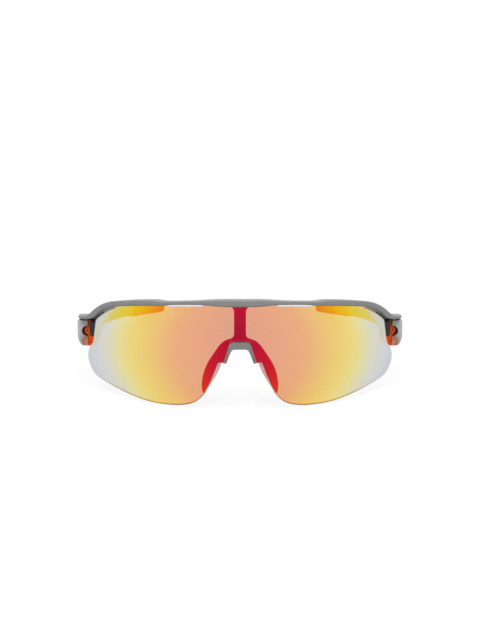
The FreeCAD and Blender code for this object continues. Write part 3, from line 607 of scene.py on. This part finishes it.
def mirror_coat():
    """Interference coat: mirrors crimson over the nose to ice at the ends, and passes other colours."""
    material, tree, shader = fresh_material("mirror_coat")
    share = across_lens(tree)
    haze = grain(tree, COAT_HAZE, octaves=2.0)
    clear, hazy = scaled(COAT_HAZES, settings("coat").roughness)
    feed(tree, shader, Metallic=1.0, Base_Color=coat_bands(tree, share),
         Roughness=levels(tree, haze, clear, hazy, HAZE_SPAN))
    film = node(tree, "ShaderNodeBsdfTransparent", Color=coat_bands(tree, share, "passed_"))
    coat = node(tree, "ShaderNodeAddShader", shader.outputs["BSDF"], film.outputs["BSDF"])
    feed(tree, tree.nodes["Material Output"], Surface=coat.outputs["Shader"])
    return material


def lens_back():
    """Lightly smoked clear plastic."""
    material, tree, shader = fresh_material("lens_back")
    streak = grain(tree, LENS_STREAKS, octaves=2.0)
    feed(tree, shader, Base_Color=shades(tree, streak, settings("lens").smoke, STREAK_SHADES),
         Alpha=levels(tree, streak, *BACK_DENSITY), Roughness=BACK_ROUGHNESS)
    return material


def lens_edge_and_foot_shade():
    """Polished edge, painted dark at its foot as shade where the lens stands, and clear above."""
    lens = settings("lens")
    material, tree, shader = fresh_material("lens_edge_and_foot_shade")
    foot = maths(tree, "DIVIDE", own_axes(tree)["Z"], lens.foot)
    # Painted shade: the edge is dark and dense at its foot, where the lens stands on the table, and clears up
    # above it
    feed(tree, shader, Base_Color=between(tree, foot, lens.edge_painted_shade, lens.smoke, EDGE_SPAN),
         Alpha=levels(tree, foot, *EDGE_DENSITY, EDGE_SPAN), Roughness=EDGE_ROUGHNESS)
    return material


class SUNGLASSES_OT_shield_lens(Operator):
    """One-piece shield lens with a graded mirror coat"""

    bl_idname = "sunglasses.shield_lens"
    bl_label = "Shield lens"

    def execute(self, context):
        finishes = [mirror_coat(), lens_back(), lens_edge_and_foot_shade()]
        lens = new_piece("shield_lens_mirror", lens_mesh(), finishes, "front")
        chamfer = lens.modifiers.new("polished rim", "BEVEL")
        chamfer.width = settings("lens").rim
        chamfer.use_clamp_overlap = False
        chamfer.segments = CHAMFER_STEPS
        chamfer.limit_method = "WEIGHT"
        chamfer.material = EDGE_SLOT
        lens.modifiers.new("even gloss", "WEIGHTED_NORMAL").keep_sharp = True
        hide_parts("shield_lens")
        return {"FINISHED"}


def clear_silicone(tint):
    """Clear silicone with faint clouds."""
    material, tree, shader = fresh_material("clear_silicone")
    cloud = grain(tree, SILICONE_CLOUDS)
    feed(tree, shader, Base_Color=shades(tree, cloud, tint, CLOUD_SHADES),
         Alpha=levels(tree, cloud, *SILICONE_DENSITY), Roughness=levels(tree, cloud, *SILICONE_ROUGHNESS),
         Normal=relief(tree, grain(tree, SILICONE_GRAIN), strength=0.15, depth=GRAIN_DEPTH))
    return material


class SUNGLASSES_OT_nose_pads(Operator):
    """Two clear silicone pads behind the lens's nose edge"""

    bl_idname = "sunglasses.nose_pads"
    bl_label = "Nose pads"

    def execute(self, context):
        pads = settings("pads")
        material = clear_silicone(pads.tint)
        for side in SIDES:
            soft_copy("silicone_pad_" + side, "nose_pad_" + side, pads.voxel, pads.rounds, material,
                      "front")
        return {"FINISHED"}


class SUNGLASSES_OT_sleeves(Operator):
    """Rubber sleeves over the ends of the temples"""

    bl_idname = "sunglasses.sleeves"
    bl_label = "Temple sleeves"

    def execute(self, context):
        sleeves = settings("sleeves")
        material = moulded("tip_rubber", sleeves.rubber, roughness=0.72, spread=0.06, specular=0.2,
                           grain_scale=RUBBER_GRAIN, grain_strength=0.5)
        for side in SIDES:
            soft_copy("rubber_sleeve_" + side, "temple_tip_" + side, sleeves.voxel, sleeves.rounds, material,
                      "temple_" + side)
        return {"FINISHED"}


def carrier_finish(black, arch_grey):
    """Two-shot moulding: black carrier with a grey arch in the lens's nose cut-out."""
    material, tree, shader = plastic("carrier_nylon", roughness=0.5, spread=0.06, specular=0.1)
    axes = own_axes(tree)
    wide, narrow = LENS_ARCH[:2]
    edge = node(tree, "ShaderNodeMapRange", Value=axes["Z"], clamp=False,
                From_Min=stand_height(wide), To_Min=(wide[0] + ARCH_LIP) * MM,
                From_Max=stand_height(narrow), To_Max=(narrow[0] + ARCH_LIP) * MM).outputs["Result"]
    beside = maths(tree, "LESS_THAN", maths(tree, "ABSOLUTE", axes["X"]), edge)
    below = maths(tree, "LESS_THAN", axes["Z"], stand_height(LENS_ARCH[-1]) + ARCH_LIP * MM)
    arch = maths(tree, "MULTIPLY", beside, below)
    feed(tree, shader, Base_Color=between(tree, arch, black, arch_grey, STEP_SPAN))
    return material


class SUNGLASSES_OT_front(Operator):
    """Finish of the brow bar and the nose carrier"""

    bl_idname = "sunglasses.front"
    bl_label = "Brow bar and nose carrier"

    def execute(self, context):
        finish = settings("finish")
        dress(moulded("brow_nylon", finish.brow_grey, roughness=0.5, spread=0.07), "brow_frame")
        dress(carrier_finish(finish.carrier_black, finish.brow_grey), "nose_bridge")
        dress(machined("screw_steel", finish.steel), "bridge_screw")
        return {"FINISHED"}


class SUNGLASSES_OT_hinges(Operator):
    """Finish of the hinge brackets, pins, screws and washers"""

    bl_idname = "sunglasses.hinges"
    bl_label = "Hinges"

    def execute(self, context):
        finish = settings("finish")
        # Black brackets with low gloss: partly moulded black, partly painted shade for the hinge's shaded
        # recess
        dress(moulded("bracket_nylon_and_shade", finish.hinge_black, roughness=0.6, spread=0.06, specular=0.25),
              *both("hinge_bracket"))
        dress(machined("pin_steel", finish.steel), *both("hinge_pin"), *both("bracket_screw"))
        dress(moulded("washer_nylon", finish.nylon, roughness=0.4, spread=0.05), *both("hinge_washers"))
        return {"FINISHED"}


def shell_finish(finish):
    """Moulded grey with a lip at the lower front end that turns to the core's orange."""
    material, tree, shader = plastic("shell_nylon", roughness=0.48, spread=0.07)
    axes = own_axes(tree)
    across = fade(tree, maths(tree, "ABSOLUTE", axes["X"]), LIP_ACROSS)
    down = fade(tree, axes["Z"], LIP_DOWN)
    ahead = fade(tree, axes["Y"], LIP_AHEAD)
    lip = maths(tree, "MULTIPLY", maths(tree, "MULTIPLY", across, down), ahead)
    tones = [(0.0, finish.shell_grey), (LIP_TURN, finish.lip_brown), (1.0, finish.lip_orange)]
    feed(tree, shader, Base_Color=ramp(tree, lip, tones))
    return material


class SUNGLASSES_OT_temples(Operator):
    """Finish of the temple shells and cores"""

    bl_idname = "sunglasses.temples"
    bl_label = "Temples"

    def execute(self, context):
        finish = settings("finish")
        dress(shell_finish(finish), *both("temple_shell"))
        dress(moulded("core_orange", finish.core_orange, roughness=0.34, spread=0.05, specular=0.12,
                      grain_scale=POLISHED_GRAIN, grain_strength=0.15), *both("temple_core"))
        return {"FINISHED"}


def studio_floor(stage):
    """Floor made white by a light of its own."""
    half = stage.floor_half
    mesh = bpy.data.meshes.new("studio_floor")
    corners = [(-half, -half, 0), (half, -half, 0), (half, half, 0), (-half, half, 0)]
    mesh.from_pydata(corners, [], [(0, 1, 2, 3)])
    material, tree, shader = fresh_material("studio_floor")
    feed(tree, shader, Base_Color=shades(tree, grain(tree, FLOOR_CLOUDS), stage.floor, FLOOR_SHADES),
         Roughness=FLOOR_ROUGHNESS, Specular_IOR_Level=0.0,
         Emission_Color=WHITE, Emission_Strength=stage.glow)
    mesh.materials.append(material)
    add("studio_floor", mesh)


def white_surround(stage):
    """Even white all around."""
    world = bpy.data.worlds.new("white_surround")
    world.use_nodes = True
    feed(world.node_tree, world.node_tree.nodes["Background"], Color=WHITE, Strength=stage.surround)
    bpy.context.scene.world = world
    bpy.context.scene.view_settings.view_transform = "Standard"


def overhead_light(stage):
    """Large soft light from above and in front."""
    data = bpy.data.lights.new("overhead", "SUN")
    data.energy = stage.key
    data.angle = stage.softness
    lamp = add("overhead", data)
    lamp.location = KEY_PLACE
    lamp.rotation_euler = KEY_PLACE.to_track_quat("Z", "Y").to_euler()


def front_camera(stage):
    """Camera that looks at the lens from the front and a little above."""
    data = bpy.data.cameras.new("camera")
    data.lens = stage.focal
    data.sensor_width = SENSOR_WIDTH
    data.clip_start = CLIP_START
    camera = add("camera", data)
    away = Vector((0, -math.cos(stage.elevation), math.sin(stage.elevation)))
    camera.location = Vector(stage.aim) + away * stage.distance
    camera.rotation_euler = away.to_track_quat("Z", "Y").to_euler()
    bpy.context.scene.camera = camera


class SUNGLASSES_OT_studio(Operator):
    """White floor, soft light and the camera"""

    bl_idname = "sunglasses.studio"
    bl_label = "Studio"

    def execute(self, context):
        stage = settings("stage")
        studio_floor(stage)
        white_surround(stage)
        overhead_light(stage)
        front_camera(stage)
        return {"FINISHED"}


STEPS = (SUNGLASSES_OT_studio, SUNGLASSES_OT_front, SUNGLASSES_OT_hinges, SUNGLASSES_OT_temples,
         SUNGLASSES_OT_shield_lens, SUNGLASSES_OT_nose_pads, SUNGLASSES_OT_sleeves)
GROUPS = {"lens": LensSettings, "coat": CoatSettings, "pads": PadSettings, "sleeves": SleeveSettings,
          "finish": FinishSettings, "stage": StageSettings}


class SUNGLASSES_PT_parts(Panel):
    """Steps and settings of the sunglasses"""

    bl_label = "Sunglasses"
    bl_idname = "SUNGLASSES_PT_parts"
    bl_space_type = "VIEW_3D"
    bl_region_type = "UI"
    bl_category = "Sunglasses"

    def draw(self, context):
        for step in STEPS:
            self.layout.operator(step.bl_idname)
        for name, group in GROUPS.items():
            box = self.layout.box()
            box.label(text=name.capitalize())
            for key in group.__annotations__:
                box.prop(settings(name), key)


def register():
    for name, group in GROUPS.items():
        bpy.utils.register_class(group)
        setattr(bpy.types.Scene, "sunglasses_" + name, PointerProperty(type=group))
    for step in STEPS:
        bpy.utils.register_class(step)
    bpy.utils.register_class(SUNGLASSES_PT_parts)


def unregister():
    bpy.utils.unregister_class(SUNGLASSES_PT_parts)
    for step in reversed(STEPS):
        bpy.utils.unregister_class(step)
    for name, group in reversed(GROUPS.items()):
        delattr(bpy.types.Scene, "sunglasses_" + name)
        bpy.utils.unregister_class(group)


def main():
    register()
    bpy.ops.sunglasses.studio()
    bpy.ops.sunglasses.front()
    bpy.ops.sunglasses.hinges()
    bpy.ops.sunglasses.temples()
    bpy.ops.sunglasses.shield_lens()
    bpy.ops.sunglasses.nose_pads()
    bpy.ops.sunglasses.sleeves()


if __name__ == "__main__":
    main()
